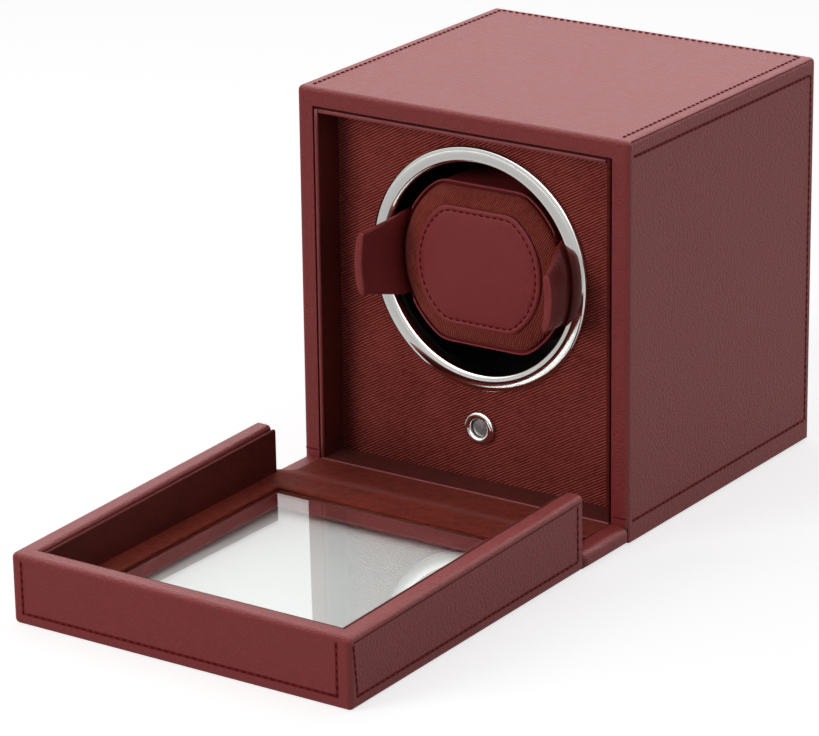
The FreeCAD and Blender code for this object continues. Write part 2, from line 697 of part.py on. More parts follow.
def lid():
    y_front, y_rear = lid_front, lid_rear
    outer = tapered(half_width, y_front, y_rear, lid_bottom, 0)
    outer = round_edges(outer, edge_round, lambda way, at: at.y < y_front + 1 or abs(way.y) > 0.5)
    inside = half_width - lid_wall
    tray = wide_box(inside, y_front + lid_wall, y_rear + 1, lid_board_top, lid_wall_top + 1)
    skin_room = wide_box(inside + leather, y_front + lid_wall - leather, y_rear + 1,
                         lid_board_top, lid_wall_top + 1)
    board = tapered(half_width - leather, y_front + leather, y_rear - leather, lid_bottom + leather, leather)
    board = board.cut(skin_room)
    seat = glass_rebate
    window = window_room(0)
    sill = window_room(leather).common(wide_box(half_width, y_front, y_rear, 0, glass_bottom))
    rebate = wide_box(window_half + leather + seat, window_front - leather - seat,
                      window_rear + leather + seat, glass_bottom, lid_wall_top)
    magnet_y = y_front + lid_wall / 2
    magnet_top = wall_top_at(magnet_y - magnet_radius) - leather
    magnets = Part.makeCompound([
        rod_z(way * magnet_spacing / 2, magnet_y, magnet_radius, magnet_top - magnet_thickness, magnet_top)
        for way in (-1, 1)])
    arms, arm_room = [], []
    for way in (-1, 1):
        middle = way * hinge_spacing / 2
        x0, x1 = middle - hinge_knuckle_half_width, middle + hinge_knuckle_half_width
        knuckle = rod_x(hinge_y, hinge_z, hinge_knuckle_radius, x0, x1)
        strap = box(x0, x1, lid_rear - hinge_arm_reach + 2.4, hinge_y, hinge_z - hinge_arm_thickness / 2,
                    hinge_z + hinge_arm_thickness / 2)
        arm = knuckle.fuse(strap)
        arms.append(arm.cut(rod_x(hinge_y, hinge_z, hinge_pin_radius + hinge_pin_clearance, x0, x1)))
        arm_room.append(strap)
    slots = Part.makeCompound(arm_room)
    cover = round_edges(outer.cut(tray), lid_inner_round, lambda way, at: on_inner_lip(way, at, inside))
    cover = cover.cut(window)
    board = board.cut(sill).cut(rebate).cut(slots).cut(magnets)
    hollow = tapered(half_width - leather, y_front + leather, y_rear - leather, lid_bottom + leather, leather)
    hollow = hollow.cut(skin_room.cut(wide_box(inside, y_front + lid_wall, y_rear + 1, 0, lid_wall_top + 1)))
    sleeve = sill.common(wide_box(half_width, y_front, y_rear, lid_bottom, glass_bottom)).cut(window)
    cover = cover.cut(hollow).fuse(sleeve)
    cover = cover.cut(wide_box(inside + leather, y_front + lid_wall - leather, y_rear - leather,
                               glass_bottom, lid_board_top)).cut(slots).removeSplitter()
    cushion = wide_box(inside, y_front + lid_wall, y_rear, lid_board_top, lid_floor_top)
    cushion = cushion.cut(window)
    cushion = round_edges(cushion, 0.9, lambda way, at: at.z > lid_floor_top - 0.1
                          and abs(at.x) < window_half + 0.1 and window_front - 0.1 < at.y < window_rear + 0.1)
    reach = window_half + leather + seat - glass_clearance
    pane = wide_box(reach, window_front - leather - seat + glass_clearance,
                    window_rear + leather + seat - glass_clearance, glass_bottom, lid_board_top)
    liner_out = inside - lid_liner_gap
    liner_in = liner_out - lid_liner_thickness
    liner_front = y_front + lid_wall + lid_liner_gap
    liners = tapered(liner_out, liner_front, y_rear, lid_floor_top, lid_liner_drop)
    liners = liners.cut(wide_box(liner_in, liner_front + lid_liner_thickness, y_rear + 1, 0, lid_wall_top))
    right = liners.common(box(liner_in, liner_out, liner_front, y_rear, 0, lid_wall_top))
    end = liners.common(wide_box(liner_in, y_front, y_rear, 0, lid_wall_top))
    right = round_edges(right, liner_lip_round, lambda way, at: at.z > (lid_floor_top + lid_wall_top) / 2
                        and abs(way.y) > 0.5)
    end = round_edges(end, liner_lip_round, lambda way, at: at.z > (lid_floor_top + lid_wall_top) / 2
                      and abs(way.x) > 0.5)
    return {"lid_cover": cover, "lid_board": board, "lid_floor_lining": cushion, "lid_glass": pane,
            "lid_liner_right": right, "lid_liner_left": mirrored(right), "lid_liner_front": end,
            "lid_magnets": magnets, "lid_hinge_arms": Part.makeCompound(arms)}


def power_inlet():
    inner_face = back - leather - back_board
    body = rod_y(0, inlet_height, inlet_radius, back - inlet_length, back)
    flange = rod_y(0, inlet_height, inlet_flange_radius, back, back + inlet_flange_thickness)
    bore = ring_y(0, inlet_height, inlet_pin_radius, inlet_bore_radius,
                  back + inlet_flange_thickness - inlet_bore_depth, back + inlet_flange_thickness)
    nut = ring_y(0, inlet_height, inlet_radius, nut_radius, inner_face - nut_thickness, inner_face)
    return body.fuse(flange).removeSplitter().cut(bore), nut


def pieces():
    board, cover, felt, lining = base()
    left, right, roof, floor = recess_liners()
    panel, cloth = front_panel()
    button, stem_end = push_button()
    circuit, switch, posts = control_board(stem_end)
    cup, shaft, hub_screw, wheel = drum()
    body, housing_screws = housing()
    plate, pillars, plate_screws = gear_plate()
    can, motor_screws, motor_shaft = motor()
    core, face, pad, wing_pins = cuff()
    flap = wing()
    inlet, nut = power_inlet()
    made = {
        "case_cover": case_skin(), "case_carcass": carcass(), "base_board": board, "base_cover": cover,
        "base_felt": felt, "apron_lining": lining, "recess_liner_left": left, "recess_liner_right": right,
        "recess_liner_top": roof, "recess_liner_floor": floor, "front_panel": panel, "panel_fabric": cloth,
        "drum_ring": drum_ring(), "button_bezel": button_bezel(), "push_button": button,
        "control_board": circuit, "button_switch": switch, "board_posts": posts,
        "drum_cup": cup, "drum_shaft": shaft,
        "hub_screw": hub_screw, "drum_gear": wheel, "drive_housing": body,
        "housing_screws": Part.makeCompound(housing_screws), "shaft_bushes": shaft_bushes(),
        "idler_axle": rod_y(0, idler_height, idler_axle_radius, housing_back_face, plate_back),
        "idler_gear": gear(0, idler_height, idler_teeth, idler_axle_radius + shaft_clearance,
                           90 + 180 / idler_teeth),
        "gear_plate": plate, "gear_pillars": Part.makeCompound(pillars),
        "plate_screws": Part.makeCompound(plate_screws), "gearmotor": can,
        "motor_screws": Part.makeCompound(motor_screws), "motor_shaft": motor_shaft,
        "motor_pinion": gear(0, motor_height, pinion_teeth, motor_shaft_radius, 90),
        "cuff_core": core, "cuff_face": face, "cuff_pad": pad, "wing_pins": wing_pins,
        "wing_right": flap, "wing_left": mirrored(flap),
        "power_inlet": inlet, "inlet_nut": nut, "hinge_pins": hinge_pins(), "case_magnets": case_magnet_discs(),
    }
    for name, shape in lid().items():
        made[name] = tipped(shape)
    return made


os.makedirs("parts", exist_ok=True)
for name, shape in pieces().items():
    shape.exportStep("parts/%s.step" % name)
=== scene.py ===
import bpy
import json
import math
from mathutils import Matrix, Vector, noise


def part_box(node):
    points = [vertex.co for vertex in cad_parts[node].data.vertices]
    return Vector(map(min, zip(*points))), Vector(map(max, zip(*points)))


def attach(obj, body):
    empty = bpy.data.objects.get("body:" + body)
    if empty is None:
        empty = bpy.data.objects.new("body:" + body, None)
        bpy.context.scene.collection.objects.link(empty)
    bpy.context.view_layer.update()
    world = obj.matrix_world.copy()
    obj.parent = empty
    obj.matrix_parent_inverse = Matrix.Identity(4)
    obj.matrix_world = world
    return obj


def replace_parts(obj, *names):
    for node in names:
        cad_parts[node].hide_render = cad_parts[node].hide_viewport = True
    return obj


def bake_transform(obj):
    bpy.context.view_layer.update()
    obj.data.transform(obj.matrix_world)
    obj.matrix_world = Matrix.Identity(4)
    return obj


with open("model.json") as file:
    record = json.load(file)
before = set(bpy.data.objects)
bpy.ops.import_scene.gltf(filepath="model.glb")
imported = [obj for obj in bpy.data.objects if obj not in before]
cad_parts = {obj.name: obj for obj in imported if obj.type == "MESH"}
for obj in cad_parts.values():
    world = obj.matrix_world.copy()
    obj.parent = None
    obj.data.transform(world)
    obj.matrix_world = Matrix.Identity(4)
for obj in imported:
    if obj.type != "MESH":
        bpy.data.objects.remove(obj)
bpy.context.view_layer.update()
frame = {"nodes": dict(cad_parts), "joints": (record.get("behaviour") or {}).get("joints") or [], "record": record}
joints = {joint["name"]: joint for joint in frame["joints"]}
MM = 0.001

# Places of the case, from the frame
case_low, case_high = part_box("case_cover")
ring_low, ring_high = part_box("drum_ring")
PANEL_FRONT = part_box("panel_fabric")[0].y
FRONT = case_low.y
BACK = case_high.y
TOP = case_high.z
HALF = case_high.x
WALL = 7.1 * MM
LINING_HALF = 65.4 * MM
DRUM_Z = (ring_low.z + ring_high.z) / 2

# The lid, level and before it tips about its hinge until its front edge rests on the floor
HINGE = Vector(joints["lid_hinge"]["pos_m"])
LID_BOTTOM = 1.5 * MM
LID_TOP = 30.9 * MM
LID_TAPER = 2.4 * MM
LID_LENGTH = 146.5 * MM
LID_REAR = FRONT - 31.2 * MM
LID_FRONT = LID_REAR - LID_LENGTH
LID_WALL = 7.3 * MM
LID_FLOOR = 12.4 * MM
GLASS_TOP = 11.0 * MM
WINDOW_HALF = HALF - 19.0 * MM
WINDOW_REAR = LID_REAR - 12.3 * MM
WINDOW_FRONT = LID_FRONT + 17.7 * MM
DROOP = math.radians(joints["lid_hinge"]["range_deg"][1] - 90) - math.atan2(LID_TAPER, LID_LENGTH)
LID_TURN = Matrix.Translation(HINGE) @ Matrix.Rotation(DROOP, 4, "X") @ Matrix.Translation(-HINGE)

# Camera, fitted to the straight edges of the box and the lid in the photograph
PHOTO_WIDTH = 819
FOCAL_PIXELS = 4302.9
CAMERA_FROM_CASE_FRONT = Vector((0.8420, -1.2611, 0.5875))
AZIMUTH, ELEVATION, ROLL = 34.456, 19.285, -0.758

# Floor and surround: what the camera and mirrors see, and what lights the object
FLOOR_GLOW = 0.74
FLOOR_SHEEN = 0.6
FLOOR_SHEEN_SHARE = 0.3
WORLD_LEVEL = 0.12
BACKDROP_LOW = 0.6
BACKDROP_HIGH = 1.25
BACKDROP_RISE = 3.6
THROUGH_GLASS = 2.3
TOWARD_BACK = (0.6, 0.8)

# Thread, pressed lines, seams and piping
STITCH_PITCH = 3.0 * MM
STITCH_LENGTH = 1.95 * MM
STITCH_HALF_WIDTH = 0.52 * MM
STITCH_HALF_HEIGHT = 0.32 * MM
STITCH_SLANT = 0.06
TOP_STITCH_HALF_WIDTH = 0.62 * MM
TOP_STITCH_HALF_HEIGHT = 0.5 * MM
CHANNEL_WIDTH = 1.3 * MM
STRIP_LIFT = 0.06 * MM
STRIP_STEP = 6 * MM
STRIP_PROFILE = [(-0.5, -0.4), (-0.42, 0.75), (0.0, 1.0), (0.42, 0.75), (0.5, -0.4)]
SEAM_WIDTH = 0.55 * MM
PIPING_WIDTH = 1.45 * MM
PIPING_LIFT = 0.45 * MM


def make_camera():
    az, el, roll = (math.radians(angle) for angle in (AZIMUTH, ELEVATION, ROLL))
    back = Vector((math.sin(az) * math.cos(el), -math.cos(az) * math.cos(el), math.sin(el)))
    right = Vector((math.cos(az), math.sin(az), 0))
    up = back.cross(right)
    across = right * math.cos(roll) + up * math.sin(roll)
    above = up * math.cos(roll) - right * math.sin(roll)
    data = bpy.data.cameras.new("camera")
    data.sensor_width = 36
    data.lens = FOCAL_PIXELS / PHOTO_WIDTH * data.sensor_width
    data.clip_end = 50
    camera = bpy.data.objects.new("camera", data)
    place = Matrix((across, above, back)).transposed().to_4x4()
    place.translation = CAMERA_FROM_CASE_FRONT + Vector((0, FRONT, 0))
    camera.matrix_world = place
    bpy.context.scene.collection.objects.link(camera)
    bpy.context.scene.camera = camera


class Shader:
    """A small helper that builds one node material."""

    def __init__(self, name):
        self.material = bpy.data.materials.new(name)
        self.material.use_nodes = True
        self.tree = self.material.node_tree
        self.surface = self.tree.nodes["Principled BSDF"]
        self.output = self.tree.nodes["Material Output"]
        self.place = self.node("ShaderNodeTexCoord").outputs["Object"]

    def node(self, kind, **settings):
        made = self.tree.nodes.new(kind)
        for key, value in settings.items():
            setattr(made, key, value)
        return made

    def link(self, source, target):
        self.tree.links.new(source, target)

    def feed(self, target, value):
        if isinstance(value, bpy.types.NodeSocket):
            self.link(value, target)
        else:
            target.default_value = value

    def math(self, operation, a, b=0.0, c=0.0):
        made = self.node("ShaderNodeMath", operation=operation)
        for socket, value in zip(made.inputs, (a, b, c)):
            self.feed(socket, value)
        return made.outputs[0]

    def noise(self, scale, detail=3.0, roughness=0.55, place=None, stretch=None):
        vector = place or self.place
        if stretch:
            vector = self.scaled(vector, stretch)
        made = self.node("ShaderNodeTexNoise")
        self.link(vector, made.inputs["Vector"])
        made.inputs["Scale"].default_value = scale
        made.inputs["Detail"].default_value = detail
        made.inputs["Roughness"].default_value = roughness
        return made.outputs["Fac"]

    def cells(self, scale, feature="F1", place=None):
        made = self.node("ShaderNodeTexVoronoi", feature=feature)
        self.link(place or self.place, made.inputs["Vector"])
        made.inputs["Scale"].default_value = scale
        return made.outputs["Distance"]

    def scaled(self, vector, factors):
        made = self.node("ShaderNodeVectorMath", operation="MULTIPLY")
        self.link(vector, made.inputs[0])
        made.inputs[1].default_value = factors
        return made.outputs[0]

    def warped(self, scale, amount):
        """Object coordinates pushed about by a noise, in metres."""
        texture = self.node("ShaderNodeTexNoise")
        self.link(self.place, texture.inputs["Vector"])
        texture.inputs["Scale"].default_value = scale
        centred = self.node("ShaderNodeVectorMath", operation="SUBTRACT")
        self.link(texture.outputs["Color"], centred.inputs[0])
        centred.inputs[1].default_value = (0.5, 0.5, 0.5)
        made = self.node("ShaderNodeVectorMath", operation="MULTIPLY_ADD")
        self.link(centred.outputs[0], made.inputs[0])
        made.inputs[1].default_value = (amount, amount, amount)
        self.link(self.place, made.inputs[2])
        return made.outputs[0]

    def ramp(self, value, *stops):
        made = self.node("ShaderNodeValToRGB")
        ramp = made.color_ramp
        while len(ramp.elements) < len(stops):
            ramp.elements.new(0.5)
        for element, (position, colour) in zip(ramp.elements, stops):
            element.position = position
            element.color = (*colour, 1) if len(colour) == 3 else colour
        self.link(value, made.inputs[0])
        return made.outputs[0]

    def grey(self, value, low, high, start=0.0, end=1.0):
        made = self.node("ShaderNodeMapRange")
        self.link(value, made.inputs["Value"])
        for key, number in (("From Min", start), ("From Max", end), ("To Min", low), ("To Max", high)):
            made.inputs[key].default_value = number
        return made.outputs[0]

    def axis(self, name, vector=None):
        made = self.node("ShaderNodeSeparateXYZ")
        self.link(vector or self.place, made.inputs[0])
        return made.outputs[name]

    def bump(self, height, depth, strength=1.0, under=None):
        made = self.node("ShaderNodeBump")
        made.inputs["Strength"].default_value = strength
        made.inputs["Distance"].default_value = depth
        self.link(height, made.inputs["Height"])
        if under:
            self.link(under, made.inputs["Normal"])
        return made.outputs[0]

    def finish(self, **sockets):
        for key, value in sockets.items():
            self.feed(self.surface.inputs[key.replace("_", " ").title().replace("Ior", "IOR")], value)
        return self.material


def leather(name, light, dark, grain=1150.0, depth=0.00018, rough=(0.44, 0.62), swell=0.0004):
    """Pebbled leather: rounded cells with creases between them, soft hollows and a broken gloss."""
    s = Shader(name)
    place = s.warped(900.0, 0.00055)
    pebble = s.cells(grain, "F1", place)
    fine = s.noise(grain * 2.6, 4.0, 0.6)
    broad = s.noise(26.0, 3.0, 0.5)
    patch = s.noise(240.0, 4.0, 0.6)
    tone = s.math("ADD", s.math("MULTIPLY", patch, 0.35), s.math("MULTIPLY", fine, 0.65))
    crease = s.grey(pebble, 1.0, 0.0, 0.15, 0.75)
    # The colour is up to a fifth darker in the creases between the pebbles: painted shade.
    tone_with_crease_shade = s.math("MULTIPLY", tone, s.grey(crease, 0.80, 1.0))
    colour = s.ramp(tone_with_crease_shade, (0.28, dark), (0.60, light))
    height = s.math("ADD", crease, s.math("MULTIPLY", fine, 0.45))
    under = s.bump(broad, swell, 0.6)
    normal = s.bump(height, depth, 0.75, under)
    gloss = s.grey(s.math("ADD", fine, s.math("MULTIPLY", patch, 0.6)), rough[0], rough[1], 0.45, 1.15)
    return s.finish(base_color=colour, roughness=gloss, normal=normal, sheen_weight=0.0,
                    specular_ior_level=0.5)


def twill(name, light, dark, pitch=0.00101, rise=29.0):
    """Woven twill: ribs that rise to the right, broken into yarns, with slubs."""
    s = Shader(name)
    place = s.warped(420.0, 0.00022)
    turned = s.node("ShaderNodeVectorRotate", rotation_type="Y_AXIS")
    s.link(place, turned.inputs["Vector"])
    turned.inputs["Angle"].default_value = math.radians(rise)
    along = s.axis("X", turned.outputs[0])
    across = s.axis("Z", turned.outputs[0])
    sway = s.math("MULTIPLY", s.noise(160.0, 2.0, 0.5), 1.6)
    rib = s.math("SINE", s.math("ADD", s.math("MULTIPLY", across, 2 * math.pi / pitch), sway))
    yarn = s.math("SINE", s.math("ADD", s.math("MULTIPLY", along, 2 * math.pi / (pitch * 0.62)),
                                 s.math("MULTIPLY", across, math.pi / pitch)))
    slub = s.noise(620.0, 3.0, 0.65, turned.outputs[0], (0.45, 1.0, 1.3))
    mottle = s.noise(60.0, 4.0, 0.6)
    height = s.math("MULTIPLY_ADD", rib, 0.5, 0.5)
    height = s.math("MULTIPLY", height, s.math("MULTIPLY_ADD", slub, 1.5, 0.25))
    height = s.math("ADD", height, s.math("MULTIPLY", yarn, 0.10))
    # The colour follows the rib height: the grooves take the dark colour as painted shade and the crests the
    # lightest colour as painted highlight; the mottle is the cloth's own tone.
    tone = s.math("ADD", height, s.math("MULTIPLY_ADD", mottle, 0.5, -0.25))
    rib_crest_highlight = tuple(min(1.0, 1.35 * part + 0.045) for part in light)
    colour = s.ramp(tone, (0.05, dark), (0.66, light), (1.05, rib_crest_highlight))
    normal = s.bump(height, 0.00022, 0.9)
    return s.finish(base_color=colour, roughness=0.72, normal=normal, sheen_weight=0.06, sheen_roughness=0.4,
                    specular_ior_level=0.12)


def lining(name, light, dark):
    """Brushed lining cloth: short horizontal fibres."""
    s = Shader(name)
    fibre = s.noise(900.0, 4.0, 0.65, stretch=(0.35, 0.35, 1.6))
    weave = s.noise(2600.0, 2.0, 0.5)
    mottle = s.noise(45.0, 3.0, 0.6)
    height = s.math("ADD", fibre, s.math("MULTIPLY", weave, 0.5))
    tone = s.math("ADD", s.math("MULTIPLY", fibre, 0.7), s.math("MULTIPLY", mottle, 0.5))
    colour = s.ramp(tone, (0.40, dark), (0.80, light))
    return s.finish(base_color=colour, roughness=0.68, normal=s.bump(height, 0.00012, 0.7),
                    sheen_weight=0.05, sheen_roughness=0.45, specular_ior_level=0.12)


def metal(name, colour, low, high):
    """Metal of one colour, its roughness between low and high."""
    s = Shader(name)
    smear = s.noise(400.0, 3.0)
    return s.finish(base_color=(*colour, 1), metallic=1.0, roughness=s.grey(smear, low, high))


def plastic(name, colour):
    s = Shader(name)
    speck = s.noise(700.0, 3.0)
    tint = s.ramp(speck, (0.3, tuple(0.88 * c for c in colour)), (0.7, colour))
    return s.finish(base_color=tint, roughness=s.grey(speck, 0.3, 0.42), normal=s.bump(speck, 0.00002, 0.5))


def fibreboard():
    s = Shader("fibreboard")
    chip = s.noise(800.0, 5.0, 0.7, stretch=(1.0, 1.0, 0.5))
    colour = s.ramp(chip, (0.35, (0.36, 0.25, 0.15)), (0.7, (0.58, 0.44, 0.30)))
    return s.finish(base_color=colour, roughness=0.8, normal=s.bump(chip, 0.0001, 0.5))


def felt():
    s = Shader("felt")
    hair = s.noise(1500.0, 4.0, 0.7)
    colour = s.ramp(hair, (0.35, (0.012, 0.010, 0.010)), (0.7, (0.045, 0.04, 0.04)))
    return s.finish(base_color=colour, roughness=0.95, normal=s.bump(hair, 0.0002, 0.8), sheen_weight=0.2)


def window_glass():
    s = Shader("window_glass")
    streak = s.noise(35.0, 2.0)
    return s.finish(base_color=(0.81, 0.825, 0.815, 1), roughness=s.grey(streak, 0.0, 0.012),
                    transmission_weight=1.0, ior=1.5)


def smoky_lens():
    s = Shader("smoky_lens")
    cloud = s.noise(500.0, 3.0)
    colour = s.ramp(cloud, (0.35, (0.42, 0.38, 0.38)), (0.7, (0.62, 0.58, 0.58)))
    return s.finish(base_color=colour, roughness=s.grey(cloud, 0.08, 0.2), transmission_weight=0.45, ior=1.46,
                    coat_weight=0.6)


def circuit():
    s = Shader("circuit")
    trace = s.cells(450.0)
    colour = s.ramp(trace, (0.3, (0.02, 0.14, 0.06)), (0.6, (0.03, 0.24, 0.10)))
    return s.finish(base_color=colour, roughness=0.4, normal=s.bump(trace, 0.00003, 0.4))


def thread():
    s = Shader("thread")
    ply = s.noise(3500.0, 2.0)
    colour = s.ramp(ply, (0.35, (0.085, 0.004, 0.006)), (0.7, (0.14, 0.008, 0.011)))
    return s.finish(base_color=colour, roughness=0.7, normal=s.bump(ply, 0.00004, 0.5),
                    specular_ior_level=0.15)


def pressed(name, light, dark):
    """A low strip coloured darker than the leather: painted shade for the hollow that a stitch line or a folded
    edge presses into leather.
    """
    s = Shader(name)
    soft = s.noise(700.0, 3.0)
    colour = s.ramp(soft, (0.3, dark), (0.7, light))
    return s.finish(base_color=colour, roughness=0.75, normal=s.bump(soft, 0.00005, 0.5),
                    specular_ior_level=0.2)


def assign_materials():
    """Make every look and give each CAD node the one that its slot asks for."""
    box_leather = leather("box_leather", (0.280, 0.038, 0.039), (0.205, 0.024, 0.025))
    cuff_leather = leather("cuff_leather", (0.30, 0.036, 0.038), (0.22, 0.023, 0.025), grain=1700.0,
                           depth=0.00004, rough=(0.42, 0.55), swell=0.0002)
    cloth = twill("twill", (0.33, 0.050, 0.038), (0.085, 0.009, 0.007))
    inner = lining("lining", (0.155, 0.020, 0.013), (0.060, 0.007, 0.005))
    black = plastic("black_moulding", (0.012, 0.011, 0.012))
    steel = metal("zinc_steel", (0.62, 0.62, 0.61), 0.25, 0.4)
    looks = {
        "cover_leather": box_leather, "cuff_leather": cuff_leather, "twill": cloth, "lining": inner,
        "board": fibreboard(), "felt": felt(), "chrome": metal("chrome", (0.90, 0.89, 0.86), 0.03, 0.06),
        "clear_plastic": smoky_lens(), "black_plastic": black,
        "white_plastic": plastic("acetal", (0.75, 0.74, 0.70)),
        "brass": metal("brass", (0.75, 0.56, 0.25), 0.2, 0.3), "circuit_board": circuit(),
        "motor_steel": metal("motor_can", (0.5, 0.5, 0.5), 0.3, 0.45), "steel": steel,
        "magnet": metal("nickel", (0.7, 0.69, 0.66), 0.12, 0.2), "glass": window_glass(),
        # Stitch channels: flat strips a little darker than the leather, painted shade for the grooves of the
        # stitch lines.
        "thread": thread(), "channel_shade": pressed("channel_shade", (0.215, 0.022, 0.024), (0.155, 0.014, 0.016)),
        # Seams: thin dark strips, painted shade in the seam grooves.
        "seam": pressed("seam", (0.12, 0.010, 0.012), (0.075, 0.006, 0.007)),
        "face_cloth": twill("face_cloth", (0.29, 0.045, 0.030), (0.15, 0.018, 0.012), pitch=0.00078,
                            rise=66.0),
        # The tray cloth is the lining cloth in a copy about twice as light and a little more orange; the extra
        # lightness is painted light on the open apron and lid floor.
        "tray_cloth": lining("tray_cloth", (0.34, 0.048, 0.028), (0.14, 0.017, 0.010)),
        "trim_leather": leather("trim_leather", (0.30, 0.050, 0.052), (0.21, 0.030, 0.032), grain=1700.0,
                                depth=0.00003, rough=(0.42, 0.55), swell=0.0001)}
    slots = {part["node"]: part["material_slot"] for part in frame["record"]["subparts"]}
    for name, node in frame["nodes"].items():
        node.data.materials.clear()
        node.data.materials.append(looks[slots[name]])
    return looks


def add_piece(name, mesh, body, material):
    """Put a smooth mesh in the scene, riding on its body where one is named."""
    piece = bpy.data.objects.new(name, mesh)
    bpy.context.scene.collection.objects.link(piece)
    mesh.materials.append(material)
    for polygon in mesh.polygons:
        polygon.use_smooth = True
    if body:
        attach(piece, body)
    return piece


def mesh_from(name, points, faces):
    mesh = bpy.data.meshes.new(name)
    mesh.from_pydata([tuple(point) for point in points], [], faces)
    mesh.update()
    return mesh


def stitch_mesh(name, rows, half_width=STITCH_HALF_WIDTH, half_height=STITCH_HALF_HEIGHT):
    """Short thread capsules along rows of (path points, outward normal)."""
    points, faces = [], []
    rings, sides = 5, 6
    for path, normal in rows:
        normal = Vector(normal).normalized()
        path = [Vector(point) for point in path]
        lengths = [(b - a).length for a, b in zip(path, path[1:])]
        total = sum(lengths)
        count = max(1, round(total / STITCH_PITCH))
        for number in range(count):
            reach = (number + 0.5) * total / count
            for start, end, length in zip(path, path[1:], lengths):
                if reach <= length:
                    break
                reach -= length
            way = (end - start).normalized()
            middle = start + way * reach
            side = way.cross(normal).normalized()
            way = (way + side * STITCH_SLANT).normalized()
            first = len(points)
            for ring in range(rings + 1):
                turn = math.pi * ring / rings
                along = -math.cos(turn) * STITCH_LENGTH / 2
                thick = math.sin(turn) ** 0.6 if 0 < ring < rings else 0.05
                for corner in range(sides):
                    angle = 2 * math.pi * corner / sides
                    points.append(middle + way * along + side * (math.cos(angle) * thick * half_width)
                                  + normal * (math.sin(angle) * thick * half_height))
            for ring in range(rings):
                for corner in range(sides):
                    a = first + ring * sides + corner
                    b = first + ring * sides + (corner + 1) % sides
                    faces.append((a, b, b + sides, a + sides))
    return mesh_from(name, points, faces)


def lid_place(points):
    """Points of the level lid, moved to where the open lid rests."""
    return [LID_TURN @ Vector(point) for point in points]


def strip_mesh(name, rows, width, lift=STRIP_LIFT):
    """Low ribbons along rows of (path points, outward normal), each run on its own."""
    points, faces = [], []
    wide = len(STRIP_PROFILE)
    for path, normal in rows:
        normal = Vector(normal).normalized()
        path = [Vector(point) for point in path]
        for start, end in zip(path, path[1:]):
            way = (end - start).normalized()
            side = way.cross(normal).normalized()
            steps = max(1, round((end - start).length / STRIP_STEP))
            first = len(points)
            for step in range(steps + 1):
                middle = start.lerp(end, step / steps)
                points += [middle + side * (across * width) + normal * (high * lift)
                           for across, high in STRIP_PROFILE]
            for step in range(steps):
                for number in range(wide - 1):
                    a = first + step * wide + number
                    faces.append((a, a + wide, a + wide + 1, a + 1))
            faces.append(tuple(first + number for number in range(wide)))
            faces.append(tuple(first + steps * wide + number for number in reversed(range(wide))))
    return mesh_from(name, points, faces)


def lid_wall_top(y):
    """Height of the lid's tapering side walls, on the level lid."""
    return LID_TOP - LID_TAPER * (LID_REAR - y) / LID_LENGTH


def make_case_stitches(looks):
    """Rows of thread on the top, sides and back of the case, in pressed lines."""
    low = 9.5 * MM
    near, far = FRONT + 3.5 * MM, BACK - 3.9 * MM
    side_top = TOP - 6.3 * MM
    across = HALF - 5.0 * MM
    over = [([(across, near, TOP), (across, far, TOP), (-across, far, TOP), (-across, near, TOP)], (0, 0, 1))]
    mesh = stitch_mesh("case_top_stitching", over, TOP_STITCH_HALF_WIDTH, TOP_STITCH_HALF_HEIGHT)
    add_piece("case_top_stitching", mesh, "case", looks["thread"])
    rows = [([(way * HALF, near, side_top), (way * HALF, far, side_top), (way * HALF, far, low),
              (way * HALF, near, low)], (way, 0, 0)) for way in (1, -1)]
    rows.append(([(across, BACK, side_top), (-across, BACK, side_top), (-across, BACK, low),
                  (across, BACK, low), (across, BACK, side_top)], (0, 1, 0)))
    add_piece("case_stitching", stitch_mesh("case_stitching", rows), "case", looks["thread"])
    # Strips along the stitch rows, coloured as painted shade for their grooves.
    add_piece("case_stitch_lines", strip_mesh("case_stitch_lines", rows, CHANNEL_WIDTH), "case",
              looks["channel_shade"])


def make_lid_stitches(looks):
    """Rows of thread on the lid's walls, in pressed lines, and its folded edges and corner seams."""
    turn = LID_TURN.to_3x3()
    rear, ahead = LID_REAR - 3.0 * MM, LID_FRONT + 4.5 * MM
    bottom = LID_BOTTOM + 4.6 * MM
    rows, seams = [], []
    for way in (-1, 1):
        x = way * HALF
        outward = turn @ Vector((way, 0, 0))
        side = [(x, rear, lid_wall_top(rear) - 3.2 * MM), (x, rear, bottom), (x, ahead - 0.5 * MM, bottom),
                (x, ahead - 2.4 * MM, lid_wall_top(ahead) - 3.2 * MM)]
        rows.append((lid_place(side), outward))
        edge = [(x, y, lid_wall_top(y) - 2.5 * MM) for y in (LID_REAR - 0.6 * MM, LID_FRONT + 2.4 * MM)]
        seams.append((lid_place(edge), outward))
    left, right = -HALF + 4.6 * MM, HALF - 5.7 * MM
    low = LID_BOTTOM + 4.7 * MM
    top = lid_wall_top(LID_FRONT) - 2.4 * MM
    end = [(left, LID_FRONT, top), (left, LID_FRONT, low), (right, LID_FRONT, low), (right, LID_FRONT, top)]
    rows.append((lid_place(end), turn @ Vector((0, -1, 0))))
    for way in (-1, 1):
        corner = [(way * (HALF - 0.75 * MM), LID_FRONT + 0.55 * MM, z) for z in (top, LID_BOTTOM + 5.5 * MM)]
        seams.append((lid_place(corner), turn @ Vector((way, -1.3, 0))))
    add_piece("lid_stitching", stitch_mesh("lid_stitching", rows), "lid", looks["thread"])
    # Strips along the stitch rows, coloured as painted shade for their grooves.
    add_piece("lid_stitch_lines", strip_mesh("lid_stitch_lines", rows, CHANNEL_WIDTH), "lid",
              looks["channel_shade"])
    # Dark strips along the lid's edges and corners: painted shade in its seams.
    add_piece("lid_seams", strip_mesh("lid_seams", seams, SEAM_WIDTH), "lid", looks["seam"])


